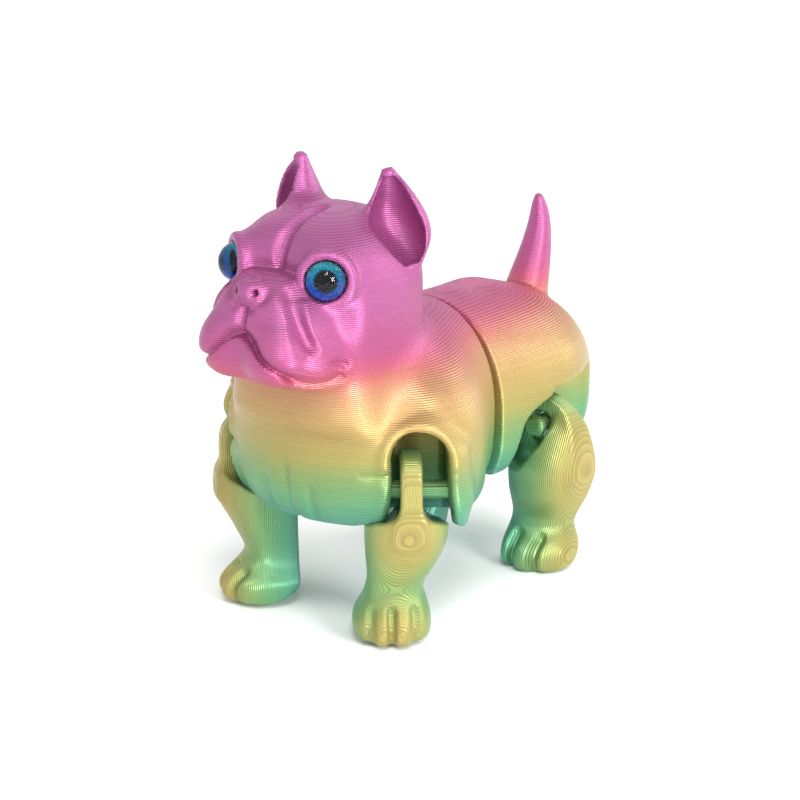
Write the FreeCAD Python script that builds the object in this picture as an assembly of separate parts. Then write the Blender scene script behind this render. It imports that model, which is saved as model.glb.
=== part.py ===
"""A jointed bulldog figure, printed in place: a front half and a rear half that turn on a waist pin,
and four legs whose hook rings swing on bars across sockets in the halves. Millimetres, +Z up.

The dog faces -Y and its left side is +X. Lengths along the dog are stations, counted backwards from
the shoulder line; the origin is on the ground under the middle of the figure, CENTRE_STATION behind it.
"""
import FreeCAD, Part
import math
import os

V = FreeCAD.Vector

# Driving dimensions
CENTRE_STATION = 20.0     # station of the middle of the figure's length
BED = 17.8                # height of the flat underside of both halves
SEAM = 25.8               # station of the front half's rear face
SEAM_GAP = 0.5            # gap between the halves on the centre line
SEAM_BEVEL_DEG = 8.5      # how far the rear half's front face is swept back on each side
SEAM_FLAT = 3.0           # half width of the stretch of that face that isn't swept back
SHELL_WIDTH_AT_SEAM = 13.2  # half width
MOVING_GAP = 0.3          # clearance between a leg and the half it hangs from

# Leg hinges: u points outwards from the dog, v runs along the bar, both level
FRONT_SPLAY_DEG = 40.0    # the front legs swing out this far round from straight ahead
FRONT_BAR_U, FRONT_BAR_Z = 7.5, 23.5
FRONT_RING_V = 13.1       # middle of the front leg's ring along its bar
FRONT_SOCKET_V = (9.2, 20.2)
FRONT_SOCKET_TOP = 32.2
FRONT_SOCKET_CORNER = 4.6  # radius at the top of the socket
FRONT_SOCKET_WALL_U = 0.6  # how deep the front socket goes
SHOULDER_R = 5.4          # how far the chest reaches from the bar where the leg swings past it
SHOULDER_TOP_DEG = 36.0   # how far above level the leg's top swings
SHOULDER_FROM_V = 5.7     # where the room for the swinging leg starts along its bar
REAR_BAR_U, REAR_BAR_Z = 12.5, 23.5
REAR_RING_V = 41.0
REAR_SLOT_HALF = 2.1
REAR_ARCH_V = (31.4, 51.6)
REAR_ARCH_TOP = 30.0
REAR_ARCH_CORNER = 6.0
REAR_ARCH_WALL_U = 11.0   # how deep the shallow part of the rear socket goes
REAR_RUMP_EDGE_U = 12.5   # the rear leg stays under the rump as far out as this
LUG_R = 2.3               # the lugs that carry the rear bar
LUG_END_V = 4.3           # how far they reach from the middle of the ring
REAR_BAR_HALF = 3.9
BAR_SIDE = 2.4
BAR_CHAMFER = 0.5
BAR_ROOT = 1.2            # how far a bar runs into the wall at each end
RING_HOLE_R = 1.8
RING_R = 6.1              # outer radius of a leg's ring
RING_HALF_THICK = 1.45

# Waist joint
WAIST_STATION = 19.0
WAIST_PIN_R = 1.6
WAIST_HOLE_R = 1.9
LINK_R = 4.5
LINK_Z = (25.0, 33.0)
LINK_HALF_WIDTH = 3.4
LINK_END_STATION = 32.0
WAIST_PIN_ROOT = 2.5      # how far the pin runs past the link at each end
WAIST_POCKET_GAP = 0.5

# Eyes: flat-backed glass domes glued over printed iris discs
EYE_D = 6.0
EYE_DOME_H = 2.5
EYE_SEAT = V(8.4, -8.6, 56.7)     # centre of the left eye's seat
EYE_TURN_DEG = 36.0               # how far it faces round from straight ahead
IRIS_THICK = 0.3

SECTION_POWER = 2.3       # how square the level sections of the head and the legs are

FAR = 60.0                # reaches past the figure in any cut
LEG_LOFT_DEGREE = 5       # the legs' surfaces run smoothly through their sections at this degree


def smooth_loop(points):
    """A closed smooth wire through the points."""
    curve = Part.BSplineCurve()
    curve.interpolate(points, PeriodicFlag=True)
    return Part.Wire([curve.toShape()])


def rounded(angle, power):
    """Cosine and sine of a rounded square: power 2 is a circle, and higher is squarer."""
    c, s = math.cos(angle), math.sin(angle)
    return (math.copysign(abs(c) ** (2 / power), c), math.copysign(abs(s) ** (2 / power), s))


def torso_section(station, half_width, low, high, widest=28.0, count=16):
    """An upright loop across the body: round above its widest height, and squarer below."""
    points = []
    for i in range(count):
        angle = 2 * math.pi * (i + 0.5) / count
        c, s = rounded(angle, 2.0 if math.sin(angle) > 0 else 2.7)
        rise = (high - widest) if s > 0 else (widest - low)
        points.append(V(half_width * c, station, widest + rise * s))
    return smooth_loop(points)


def head_section(height, front, back, half_width, count=16):
    """A level loop round the head or neck, narrower towards the front."""
    middle, half = (front + back) / 2, (back - front) / 2
    points = []
    for i in range(count):
        angle = 2 * math.pi * (i + 0.5) / count
        c, s = rounded(angle, SECTION_POWER)
        taper = 1.0 - 0.06 * max(0.0, -s)
        points.append(V(half_width * taper * c, middle + half * s, height))
    return smooth_loop(points)


def leg_section(height, u_in, u_out, v_low, v_high, inner_power=4.0, count=16):
    """A level loop round a leg in its own frame: flatter on the inner side and round on the outer one."""
    u_mid, u_half = (u_in + u_out) / 2, (u_out - u_in) / 2
    v_mid, v_half = (v_low + v_high) / 2, (v_high - v_low) / 2
    points = []
    for i in range(count):
        angle = 2 * math.pi * (i + 0.5) / count
        c, s = rounded(angle, SECTION_POWER if math.cos(angle) > 0 else inner_power)
        points.append(V(u_mid + u_half * c, v_mid + v_half * s, height))
    return smooth_loop(points)


def loft(wires, max_degree=3):
    """A solid through closed wires."""
    return Part.makeLoft(wires, True, False, False, max_degree)


def ellipsoid(centre, radii):
    """A ball stretched to three radii."""
    ball = Part.makeSphere(1.0)
    stretch = FreeCAD.Matrix()
    stretch.scale(radii[0], radii[1], radii[2])
    shape = ball.transformGeometry(stretch)
    shape.translate(centre)
    return shape


def box(low, high):
    return Part.makeBox(high[0] - low[0], high[1] - low[1], high[2] - low[2], V(*low))


def mirrored(shape):
    """The same piece for the dog's right side."""
    return shape.mirror(V(0, 0, 0), V(1, 0, 0))


def front_place(shape):
    """Turns a shape from the front leg's frame (u, v, z) to the dog's."""
    turned = shape.copy()
    turned.rotate(V(0, 0, 0), V(0, 0, 1), FRONT_SPLAY_DEG - 90.0)
    return turned


def arch(v_low, v_high, top, corner, u_from, z_from=0.0):
    """A cut from u_from outwards: straight sides and an arched top with round corners."""
    outline = [V(u_from, v_low, z_from), V(u_from, v_low, top - corner)]
    edges = [Part.LineSegment(*outline).toShape()]
    lean = corner * (1 - math.sqrt(0.5))
    left_end = V(u_from, v_low + corner, top)
    edges.append(Part.Arc(outline[1], V(u_from, v_low + lean, top - lean), left_end).toShape())
    right_end = V(u_from, v_high, top - corner)
    turn = V(u_from, v_high - corner, top)
    if v_high - v_low > 2 * corner + 0.01:
        edges.append(Part.LineSegment(left_end, turn).toShape())
    edges.append(Part.Arc(turn, V(u_from, v_high - lean, top - lean), right_end).toShape())
    foot = V(u_from, v_high, z_from)
    edges.append(Part.LineSegment(right_end, foot).toShape())
    edges.append(Part.LineSegment(foot, outline[0]).toShape())
    return Part.Face(Part.Wire(edges)).extrude(V(FAR, 0, 0))


def along_v(radius, u, z, v_low, v_high):
    """A round bar or hole along v."""
    return Part.makeCylinder(radius, v_high - v_low, V(u, v_low, z), V(0, 1, 0))


def hinge_bar(u, z, v_low, v_high):
    """A square bar with its long edges broken."""
    half = BAR_SIDE / 2
    bar = box((u - half, v_low, z - half), (u + half, v_high, z + half))
    long_edges = [e for e in bar.Edges if abs(e.Vertexes[0].Y - e.Vertexes[1].Y) > 1]
    return bar.makeChamfer(BAR_CHAMFER, long_edges)


def swing_room(u, z, inner_r, top_deg, v_low, v_high):
    """The space that a leg's top sweeps as it swings out: part of a ring round its bar, from straight
    down to top_deg above level."""
    reach = 14.0
    below = box((u, v_low, z - reach), (u + reach, v_high, z))
    above = below.copy()
    above.rotate(V(u, v_low, z), V(0, 1, 0), -top_deg)
    disc = along_v(reach, u, z, v_low, v_high)
    return disc.common(below.fuse(above)).cut(along_v(inner_r, u, z, v_low, v_high))


# ---- legs -----------------------------------------------------------------------------------------

def leg_ring(u, z, v, foot, root_u):
    """The ring that hangs a leg on its bar: round above the bar, with sides that run down to foot,
    between the two u values of root_u."""
    rim = Part.makeCylinder(RING_R, 2 * RING_HALF_THICK, V(u, v - RING_HALF_THICK, z), V(0, 1, 0))
    web_points = [V(u - RING_R, v, z), V(u + RING_R, v, z), V(root_u[1], v, foot), V(root_u[0], v, foot)]
    web = Part.Face(Part.makePolygon(web_points + web_points[:1])).extrude(V(0, 2 * RING_HALF_THICK, 0))
    web.translate(V(0, -RING_HALF_THICK, 0))
    hole = along_v(RING_HOLE_R, u, z, v - 3, v + 3)
    return rim.fuse(web), hole


def join_leg(body, ring, toes, hole):
    """A leg as one solid, with its sole cut off flat on the ground."""
    leg = body
    for piece in [ring] + toes:
        leg = leg.fuse(piece)
    return leg.cut(hole).common(box((-FAR, -FAR, 0.0), (FAR, FAR, FAR)))


def front_leg():
    """The left front leg in its own frame: its flat back faces the dog, and its toes point outwards."""
    back = 2.0
    top = BED - MOVING_GAP
    stations = [  # height, back, front, low v, high v
        (0.0, back + 1.0, 12.6, 5.6, 14.6),
        (1.8, back + 0.2, 14.0, 4.6, 15.5),
        (4.4, back, 13.6, 4.6, 15.4),
        (6.8, back, 11.3, 6.0, 15.2),
        (8.8, back, 10.4, 6.9, 15.2),
        (11.4, back, 11.8, 6.7, 16.6),
        (14.0, back, 13.3, 6.3, 17.9),
        (16.2, back, 13.7, 6.3, 18.3),
        (top, back, 13.7, 6.4, 18.4),
    ]
    body = loft([leg_section(*s) for s in stations], LEG_LOFT_DEGREE)
    ring, hole = leg_ring(FRONT_BAR_U, FRONT_BAR_Z, FRONT_RING_V, 13.0, (3.0, 12.6))
    toes = [ellipsoid(V(u, v, 2.8), (3.2, 1.6, 2.5)) for u, v in ((11.2, 6.2), (11.2, 14.0))]
    toes += [ellipsoid(V(u, v, 2.9), (3.3, 1.6, 2.6)) for u, v in ((12.2, 8.8), (12.2, 11.6))]
    return front_place(join_leg(body, ring, toes, hole))


def rear_leg():
    """The left rear leg: flat on its inner side, with its toes pointing ahead."""
    inner = 7.2
    top = 20.2
    shelf = BED - MOVING_GAP
    stations = [  # height, inner side, outer side, front, back
        (0.0, inner + 1.0, 17.6, 34.0, 43.6),
        (1.8, inner + 0.4, 19.0, 33.0, 44.4),
        (4.4, inner + 0.2, 18.8, 34.0, 45.0),
        (6.9, inner, 17.4, 36.8, 45.2),
        (9.0, inner, 17.6, 36.8, 46.4),
        (11.8, inner, 19.2, 35.4, 47.4),
        (14.8, inner, 20.2, 34.6, 47.8),
        (17.6, inner, 19.9, 34.8, 47.4),
        (top, inner, 18.2, 36.4, 45.4),
    ]
    body = loft([leg_section(*s, inner_power=2.6) for s in stations], LEG_LOFT_DEGREE)
    under_rump = box((-FAR, -FAR, shelf), (REAR_RUMP_EDGE_U, FAR, FAR))
    body = body.cut(under_rump)
    ring, hole = leg_ring(REAR_BAR_U, REAR_BAR_Z, REAR_RING_V, 14.0, (8.2, 18.0))
    toes = [ellipsoid(V(u, v, 2.8), (1.6, 3.2, 2.5)) for u, v in ((9.4, 36.6), (17.2, 36.8))]
    toes += [ellipsoid(V(u, v, 2.9), (1.6, 3.4, 2.6)) for u, v in ((12.0, 35.8), (14.7, 35.9))]
    return join_leg(body, ring, toes, hole)


def front_bar():
    low, high = FRONT_SOCKET_V
    return front_place(hinge_bar(FRONT_BAR_U, FRONT_BAR_Z, low - BAR_ROOT, high + BAR_ROOT))


def rear_bar():
    return hinge_bar(REAR_BAR_U, REAR_BAR_Z, REAR_RING_V - REAR_BAR_HALF, REAR_RING_V + REAR_BAR_HALF)


# ---- the two halves -------------------------------------------------------------------------------

def front_socket():
    """What the left front leg's socket takes out of the front half."""
    low, high = FRONT_SOCKET_V
    pocket = arch(low, high, FRONT_SOCKET_TOP, FRONT_SOCKET_CORNER, FRONT_SOCKET_WALL_U)
    sweep = swing_room(FRONT_BAR_U, FRONT_BAR_Z, SHOULDER_R, SHOULDER_TOP_DEG, SHOULDER_FROM_V, high)
    return front_place(pocket.fuse(sweep))


def rear_socket():
    """What the left rear leg's socket takes out of the rear half: a wide arch and a slot for the ring."""
    low, high = REAR_ARCH_V
    wide = arch(low, high, REAR_ARCH_TOP, REAR_ARCH_CORNER, REAR_ARCH_WALL_U)
    lugs = [along_v(LUG_R, REAR_BAR_U, REAR_BAR_Z, REAR_RING_V + a, REAR_RING_V + b)
            for a, b in ((-LUG_END_V, -REAR_SLOT_HALF), (REAR_SLOT_HALF, LUG_END_V))]
    wide = wide.cut(lugs[0].fuse(lugs[1]))
    v_low, v_high = REAR_RING_V - REAR_SLOT_HALF, REAR_RING_V + REAR_SLOT_HALF
    room = RING_R + MOVING_GAP
    slot = box((REAR_BAR_U - room, v_low, 0.0), (FAR, v_high, REAR_BAR_Z + room))
    return wide.fuse(slot)


def head():
    """Head and neck as one column of level loops."""
    stations = [  # height, front, back, half width
        (33.0, -5.0, 15.0, 10.5),
        (38.0, -9.0, 15.2, 11.8),
        (41.4, -15.5, 15.2, 12.2),
        (43.2, -18.9, 15.2, 12.4),
        (46.5, -19.6, 15.2, 12.8),
        (50.0, -18.6, 15.0, 13.0),
        (54.0, -16.9, 14.8, 13.0),
        (57.5, -13.4, 14.2, 12.7),
        (61.5, -7.6, 12.6, 11.2),
        (64.0, -3.6, 10.4, 8.2),
        (65.2, -0.2, 8.0, 4.6),
    ]
    return loft([head_section(*s) for s in stations])


def ear():
    """The left ear: a cup that opens forwards and outwards."""
    outer = ellipsoid(V(8.8, 6.6, 60.4), (5.0, 3.7, 9.8))
    inner = ellipsoid(V(9.4, 4.5, 60.2), (4.1, 3.4, 8.4))
    return outer.cut(inner)


def eye_local(shape):
    """Carries a shape from the eye's seat, facing +Z, to the left eye's place on the head."""
    placed = shape.copy()
    placed.rotate(V(0, 0, 0), V(1, 0, 0), 90.0)
    placed.rotate(V(0, 0, 0), V(0, 0, 1), EYE_TURN_DEG)
    placed.translate(EYE_SEAT)
    return placed


def eye_lens():
    """A flat-backed glass dome, a slice of a ball."""
    r = EYE_D / 2
    ball_r = (r * r + EYE_DOME_H ** 2) / (2 * EYE_DOME_H)
    ball = Part.makeSphere(ball_r, V(0, 0, IRIS_THICK + EYE_DOME_H - ball_r))
    return eye_local(ball.common(box((-FAR, -FAR, IRIS_THICK), (FAR, FAR, FAR))))


def eye_iris():
    return eye_local(Part.makeCylinder(EYE_D / 2 - 0.1, IRIS_THICK))


def eye_seat():
    return eye_local(Part.makeCylinder(EYE_D / 2 + 0.05, 12.0))


def waist_pin():
    height = LINK_Z[1] - LINK_Z[0] + 2 * WAIST_PIN_ROOT
    return Part.makeCylinder(WAIST_PIN_R, height, V(0, WAIST_STATION, LINK_Z[0] - WAIST_PIN_ROOT))


def waist_link():
    """The rear half's tongue, whose ring turns on the waist pin."""
    height = LINK_Z[1] - LINK_Z[0]
    ring = Part.makeCylinder(LINK_R, height, V(0, WAIST_STATION, LINK_Z[0]))
    neck = box((-LINK_HALF_WIDTH, WAIST_STATION, LINK_Z[0]), (LINK_HALF_WIDTH, LINK_END_STATION, LINK_Z[1]))
    hole = Part.makeCylinder(WAIST_HOLE_R, height + 2, V(0, WAIST_STATION, LINK_Z[0] - 1))
    return ring.fuse(neck).cut(hole).removeSplitter()


def waist_pocket():
    """The room for the link in the front half."""
    r = LINK_R + WAIST_POCKET_GAP
    z0, z1 = LINK_Z[0] - WAIST_POCKET_GAP, LINK_Z[1] + WAIST_POCKET_GAP
    end = Part.makeCylinder(r, z1 - z0, V(0, WAIST_STATION, z0))
    mouth = box((-r, WAIST_STATION, z0), (r, SEAM + 2, z1))
    return end.fuse(mouth)


def front_shell():
    """Head, ears, neck and chest in one piece, with the sockets, the eye seats and the waist pocket."""
    stations = [  # station, half width, underside, top
        (SEAM, SHELL_WIDTH_AT_SEAM, BED - 1, 45.4),
        (19.5, 16.2, BED - 3, 46.2),
        (13.5, 20.0, BED - 4, 46.0),
        (8.0, 21.3, BED - 3.6, 44.6),
        (3.0, 19.2, BED - 1.6, 43.2),
        (-1.5, 15.6, BED + 0.4, 41.8),
        (-5.4, 11.2, BED + 3.2, 39.8),
        (-8.4, 4.8, BED + 7.6, 36.5),
    ]
    chest = loft([torso_section(*s) for s in stations])
    shell = chest.fuse([head(), ear(), mirrored(ear())])
    cuts = [front_socket(), mirrored(front_socket()), eye_seat(), mirrored(eye_seat()), waist_pocket(),
            waist_pin(), front_bar(), mirrored(front_bar()), box((-FAR, -FAR, -1.0), (FAR, FAR, BED))]
    for cut in cuts:
        shell = shell.cut(cut)
    return shell


def tail():
    """A short whip tail: round sections along a line that rises and straightens."""
    stations = [  # station, height, radius, lean of the section
        (51.0, 37.0, 4.4, 30), (53.0, 41.6, 3.6, 24), (54.9, 46.3, 2.7, 16), (56.0, 50.6, 1.95, 8),
        (56.2, 54.0, 1.2, 0), (56.1, 55.7, 0.6, -4),
    ]
    rings = []
    for station, height, radius, lean in stations:
        a = math.radians(lean)
        circle = Part.Circle(V(0, station, height), V(0, math.sin(a), math.cos(a)), radius)
        rings.append(Part.Wire([circle.toShape()]))
    return loft(rings)


def rear_shell():
    """Loin, rump and tail in one piece."""
    face = SEAM + SEAM_GAP
    stations = [  # station, half width, underside, top
        (face, SHELL_WIDTH_AT_SEAM, BED - 1, 45.4),
        (32.0, 14.4, BED - 1, 45.6),
        (38.0, 15.2, BED - 1, 45.3),
        (43.5, 15.2, BED - 1, 44.2),
        (49.0, 14.2, BED - 0.8, 42.5),
        (54.0, 11.7, BED - 0.2, 40.2),
        (57.6, 8.4, BED + 1.4, 37.2),
        (59.8, 4.0, BED + 5.0, 33.0),
    ]
    shell = loft([torso_section(*s) for s in stations]).fuse(tail())
    sweep_back = math.tan(math.radians(SEAM_BEVEL_DEG)) * (FAR - SEAM_FLAT)
    bevel_points = [V(SEAM_FLAT, face, 0), V(FAR, face + sweep_back, 0), V(FAR, face - 5, 0),
                    V(SEAM_FLAT, face - 5, 0)]
    bevel = Part.Face(Part.makePolygon(bevel_points + bevel_points[:1])).extrude(V(0, 0, FAR))
    cuts = [rear_socket(), mirrored(rear_socket()), bevel, mirrored(bevel), rear_bar(), mirrored(rear_bar()),
            waist_link(), box((-FAR, -FAR, -1.0), (FAR, FAR, BED))]
    for cut in cuts:
        shell = shell.cut(cut)
    return shell


def build():
    nodes = {
        "front_shell": front_shell(),
        "rear_shell": rear_shell(),
        "waist_pin": waist_pin(),
        "waist_link": waist_link(),
    }
    paired = {
        "front_{}_leg": front_leg(),
        "rear_{}_leg": rear_leg(),
        "front_{}_hinge_bar": front_bar(),
        "rear_{}_hinge_bar": rear_bar(),
        "{}_eye_lens": eye_lens(),
        "{}_eye_iris": eye_iris(),
    }
    for name, shape in paired.items():
        nodes[name.format("left")] = shape
        nodes[name.format("right")] = mirrored(shape)
    os.makedirs("parts", exist_ok=True)
    for name, shape in nodes.items():
        shape.translate(V(0, -CENTRE_STATION, 0))
        bounds = shape.BoundBox
        print(f"{name:24s} solids {len(shape.Solids)} valid {shape.isValid()} volume {shape.Volume:9.1f} "
              f"x {bounds.XMin:6.1f} {bounds.XMax:6.1f} y {bounds.YMin:6.1f} {bounds.YMax:6.1f} "
              f"z {bounds.ZMin:6.1f} {bounds.ZMax:6.1f}")
        shape.exportStep(f"parts/{name}.step")


build()
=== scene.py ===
"""The looks of the jointed bulldog figure: sculpted one-piece prints in layered silk filament and glass
eyes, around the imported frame, on a plain stage. Laid out as a Blender add-on and run as a script."""
import math

import bpy
import numpy as np
import openvdb
from bpy.props import FloatProperty, FloatVectorProperty, PointerProperty
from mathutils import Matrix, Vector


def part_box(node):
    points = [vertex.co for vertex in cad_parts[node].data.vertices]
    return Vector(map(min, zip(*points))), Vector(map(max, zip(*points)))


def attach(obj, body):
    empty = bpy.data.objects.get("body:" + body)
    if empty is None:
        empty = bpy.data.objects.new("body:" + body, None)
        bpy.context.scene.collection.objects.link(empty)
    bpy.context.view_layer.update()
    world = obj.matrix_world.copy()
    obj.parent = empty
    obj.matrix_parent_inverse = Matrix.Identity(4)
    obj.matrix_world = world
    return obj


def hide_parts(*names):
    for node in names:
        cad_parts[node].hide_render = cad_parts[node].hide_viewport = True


bl_info = {
    "name": "Jointed Bulldog Figure",
    "version": (1, 0, 0),
    "blender": (4, 5, 0),
    "location": "View3D > Sidebar > Bulldog",
    "description": "Sculpts a print-in-place bulldog in silk filament, with glass eyes, round its frame",
    "category": "Object",
}

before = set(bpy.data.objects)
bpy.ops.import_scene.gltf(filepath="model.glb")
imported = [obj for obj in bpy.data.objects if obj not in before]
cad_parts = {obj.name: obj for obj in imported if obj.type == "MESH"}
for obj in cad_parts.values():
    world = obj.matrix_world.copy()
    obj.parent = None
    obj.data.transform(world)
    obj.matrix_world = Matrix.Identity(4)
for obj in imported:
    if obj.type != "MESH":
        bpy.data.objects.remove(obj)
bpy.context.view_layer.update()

MM = 0.001
AHEAD = -20.0            # y of the shoulder line, from which the front legs' own axes are measured
BED = 17.8               # height of the halves' flat undersides
SPLAY = math.radians(40.0)   # how far the front legs turn out from straight ahead
OUT = (math.sin(SPLAY), -math.cos(SPLAY))    # level direction in which the left front leg swings out
ALONG = (math.cos(SPLAY), math.sin(SPLAY))   # level direction of its bar
FRONT_BAR = (7.5, 23.5)   # distance out along OUT, and height
REAR_BAR = (12.5, 23.5)   # distance from the middle, and height
REAR_RING_Y = 21.0       # y of the rear legs' rings
EYE_TURN = math.radians(36.0)   # how far the left eye faces out from straight ahead
EYE_REACH, EYE_TALL = 2.98, 2.68   # radius and height of an eye's glass dome
EYE_SINK = 0.1           # how far the dome's base sits past the iris seat, inside the disc
SIDES = (("left", 1.0), ("right", -1.0))
FAR = 20.0               # distance that empty clay holds


# ---- clay: shapes as signed distances on a block of samples ------------------------------------------

def soft_min(a, b, blend):
    """The smaller of two distances, rounded off over blend where they are alike."""
    near = np.maximum(blend - np.abs(a - b), 0.0) / blend
    return np.minimum(a, b) - near * near * blend * 0.25


def soft_max(a, b, blend):
    """The larger of two distances, rounded off over blend: the soft minimum of both negated, negated."""
    return -soft_min(-a, -b, blend)


def smooth_step(value, low, high):
    """Rises from 0 at low to 1 at high, level at both ends."""
    t = np.clip((value - low) / (high - low), 0.0, 1.0)
    return t * t * (3.0 - 2.0 * t)


def through(knots, value):
    """A natural cubic spline through (place, size) knots, level past both ends."""
    x, y = np.array(knots, float).T
    gap = np.diff(x)
    count = len(x)
    system = np.eye(count)
    right = np.zeros(count)
    inner = np.arange(1, count - 1)
    system[inner, inner - 1] = gap[:-1]
    system[inner, inner] = 2.0 * (gap[:-1] + gap[1:])
    system[inner, inner + 1] = gap[1:]
    right[inner] = 6.0 * (np.diff(y)[1:] / gap[1:] - np.diff(y)[:-1] / gap[:-1])
    bend = np.linalg.solve(system, right)
    v = np.clip(value, x[0], x[-1])
    i = np.clip(np.searchsorted(x, v) - 1, 0, count - 2)
    h, a, b = gap[i], x[i + 1] - v, v - x[i]
    return ((bend[i] * a ** 3 + bend[i + 1] * b ** 3) / (6 * h) + (y[i] / h - bend[i] * h / 6) * a
            + (y[i + 1] / h - bend[i + 1] * h / 6) * b)


def smooth_path(points, steps=5):
    """More points on the smooth curve through the given ones, steps to each stretch."""
    points = np.array(points, float)
    place = np.arange(len(points))
    fine = np.linspace(0, len(points) - 1, (len(points) - 1) * steps + 1)
    return np.stack([through(np.stack([place, points[:, k]], 1), fine) for k in range(3)], 1)


class Clay:
    """A block of samples, in millimetres, that holds the distance to a shape's surface, negative inside.
    With mirror it covers the left half, x over 0, and the right half is its mirror image."""

    def __init__(self, low, high, pitch, mirror=False):
        self.pitch, self.mirror = pitch, mirror
        self.axes = []
        for k in range(3):
            start = low[k] if k or not mirror else pitch / 2
            self.axes.append(np.arange(start, high[k], pitch, dtype=np.float32))
        self.x = self.axes[0][:, None, None]
        self.y = self.axes[1][None, :, None]
        self.z = self.axes[2][None, None, :]
        self.d = np.full([len(a) for a in self.axes], FAR, np.float32)

    def part(self, low, high):
        """The samples between two corners: their slices and their x, y and z."""
        cut = []
        for k in range(3):
            first, last = np.searchsorted(self.axes[k], (low[k], high[k]))
            cut.append(slice(int(first), int(max(last, first + 1))))
        grids = (self.x[cut[0]], self.y[:, cut[1]], self.z[:, :, cut[2]])
        return tuple(cut), grids

    def even(self, shape):
        """A rough measure made a distance: the value over the length of its gradient."""
        grad = np.gradient(shape, self.pitch)
        return shape / np.maximum(np.sqrt(grad[0] ** 2 + grad[1] ** 2 + grad[2] ** 2), 0.25)

    def add(self, shape, blend=0.5):
        """Joins a shape on: the soft minimum of the two distances."""
        self.d = soft_min(self.d, shape, blend)

    def cut(self, shape, blend=0.5):
        """Cuts a shape away: the soft maximum of the clay's distance and the shape's negated."""
        self.d = soft_max(self.d, -shape, blend)

    def trim(self, beyond, blend):
        """Keeps the clay only where beyond is negative, with its edge rounded over blend."""
        self.d = soft_max(self.d, beyond, blend)

    def ball(self, centre, radii):
        """Distance to an ellipsoid: the scaled radius less one, over the length of its gradient."""
        qx, qy, qz = self.x - centre[0], self.y - centre[1], self.z - centre[2]
        k0 = np.sqrt((qx / radii[0]) ** 2 + (qy / radii[1]) ** 2 + (qz / radii[2]) ** 2)
        k1 = np.sqrt((qx / radii[0] ** 2) ** 2 + (qy / radii[1] ** 2) ** 2 + (qz / radii[2] ** 2) ** 2)
        return (k0 * (k0 - 1.0) / np.maximum(k1, 1e-4)).astype(np.float32)

    def rod(self, a, b, radius_a, radius_b):
        """Distance to a round rod from a to b, whose radius changes evenly along it."""
        a, b = np.array(a, np.float32), np.array(b, np.float32)
        along = b - a
        qx, qy, qz = self.x - a[0], self.y - a[1], self.z - a[2]
        t = np.clip((qx * along[0] + qy * along[1] + qz * along[2]) / float(along @ along), 0, 1)
        gap = np.sqrt((qx - t * along[0]) ** 2 + (qy - t * along[1]) ** 2 + (qz - t * along[2]) ** 2)
        return (gap - (radius_a + (radius_b - radius_a) * t)).astype(np.float32)

    def swell(self, centre, radii, amount):
        """Pushes the surface out by amount at centre, fading as a bell curve of the given radii; a
        negative amount presses it in."""
        reach = 2.6
        low = [c - reach * r for c, r in zip(centre, radii)]
        high = [c + reach * r for c, r in zip(centre, radii)]
        cut, (x, y, z) = self.part(low, high)
        q = ((x - centre[0]) / radii[0]) ** 2 + ((y - centre[1]) / radii[1]) ** 2
        q = q + ((z - centre[2]) / radii[2]) ** 2
        self.d[cut] -= amount * np.exp(-q)

    def crease(self, points, depth, width, fade=0.25, through_way=(0.0, 0.0, 0.0)):
        """A groove of a bell-curve section along the smooth curve through points; it fades in and out
        over fade of its length, and reaches through the clay for some way along through_way. A negative
        depth makes a ridge."""
        way = np.array(through_way, float) * 0.85
        path = smooth_path(points)
        reach = 2.8 * width + (3.0 if way.any() else 0.0)
        cut, (x, y, z) = self.part(path.min(0) - reach, path.max(0) + reach)
        along_way = x * way[0] + y * way[1] + z * way[2]
        x, y, z = x - along_way * way[0], y - along_way * way[1], z - along_way * way[2]
        path = path - (path @ way)[:, None] * way
        best = np.full(self.d[cut].shape, 1e3, np.float32)
        place = np.zeros_like(best)
        count = len(path) - 1
        for i in range(count):
            a, along = path[i], path[i + 1] - path[i]
            qx, qy, qz = x - a[0], y - a[1], z - a[2]
            t = np.clip((qx * along[0] + qy * along[1] + qz * along[2]) / float(along @ along), 0, 1)
            gap = (qx - t * along[0]) ** 2 + (qy - t * along[1]) ** 2 + (qz - t * along[2]) ** 2
            nearer = gap < best
            best = np.where(nearer, gap, best)
            place = np.where(nearer, (i + t) / count, place)
        ends = smooth_step(place, 0.0, fade) * smooth_step(1.0 - place, 0.0, fade) if fade else 1.0
        self.d[cut] += depth * ends * np.exp(-best / width ** 2)

    def column(self, stations, u, v, inner_power, outer_power):
        """A pillar whose level sections change smoothly with height: each is a superellipse between the
        two u and the two v of its station, with its own power on the side of the lower u."""
        table = np.array(stations, float)
        u_in, u_out, v_low, v_high = (through(table[:, (0, k)], self.z) for k in range(1, 5))
        across = (2 * u - u_in - u_out) / (u_out - u_in)
        fore = np.abs((2 * v - v_low - v_high) / (v_high - v_low))
        power = np.where(across < 0, inner_power, outer_power)
        level = (np.abs(across) ** power + fore ** power) ** (1 / power)
        return self.even(((level - 1.0) * (u_out - u_in) / 2).astype(np.float32))

    def skin(self):
        """The surface of zero distance, as points in metres and four-sided faces that face outwards."""
        field = self.d
        low = np.array([a[0] for a in self.axes], float)
        if self.mirror:
            field = np.concatenate([field[::-1], field])
            low[0] = -self.axes[0][-1]
        grid = openvdb.FloatGrid(FAR)
        grid.copyFromArray(np.ascontiguousarray(field, dtype=np.float32))
        points, quads = grid.convertToQuads(0.0)
        if not len(quads):
            raise RuntimeError("a block of clay came out empty")
        points = (points * self.pitch + low) * MM
        corner = points[quads]
        normal = np.cross(corner[:, 2] - corner[:, 0], corner[:, 3] - corner[:, 1])
        if np.einsum("ij,ij->", normal, corner.mean(1)) < 0:
            quads = quads[:, ::-1]
        return points, quads


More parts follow.
